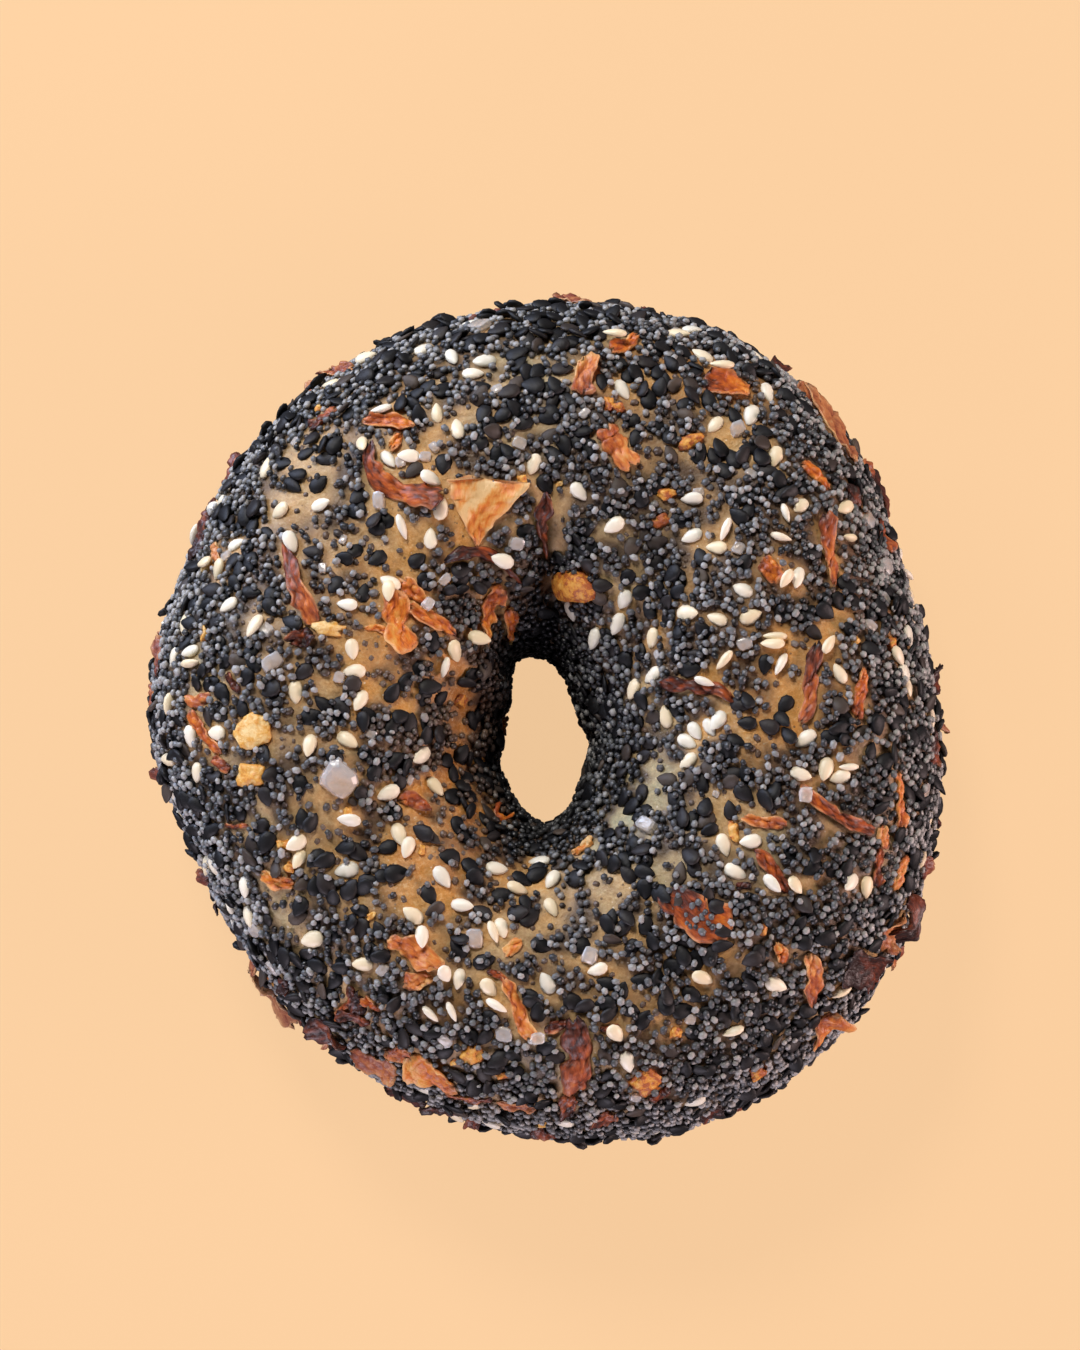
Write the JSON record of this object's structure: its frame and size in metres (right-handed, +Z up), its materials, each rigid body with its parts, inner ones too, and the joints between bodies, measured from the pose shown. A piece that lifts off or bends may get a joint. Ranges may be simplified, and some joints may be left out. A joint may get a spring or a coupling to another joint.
{
  "type": "bagel",
  "caption": "Whole seeded bagel: a plump baked dough ring with a narrow long hole, crusted with poppy and sesame seeds, onion flakes and coarse salt.",
  "frame": {"origin": "on the resting plane, under the middle of the ring's outline", "axes": "+Z up through the hole; +Y towards the side where the rope's ends were joined, where the ring is thickest"},
  "size_m": [0.1107, 0.1173, 0.0439],
  "materials": {
    "crust": "baked bread crust, satin, golden tan to brown",
    "poppy_seed": "matt slate blue to charcoal seed coat",
    "black_sesame": "near-black seed coat, faint sheen",
    "white_sesame": "hulled ivory seed, waxy",
    "onion": "dried and toasted onion, amber to dark red-brown",
    "garlic": "dried garlic granules and chips, toasted golden",
    "salt": "coarse clear to cloudy crystals"
  },
  "bodies": {
    "root": {"bagel": "crust"}
  },
  "joints": []
}
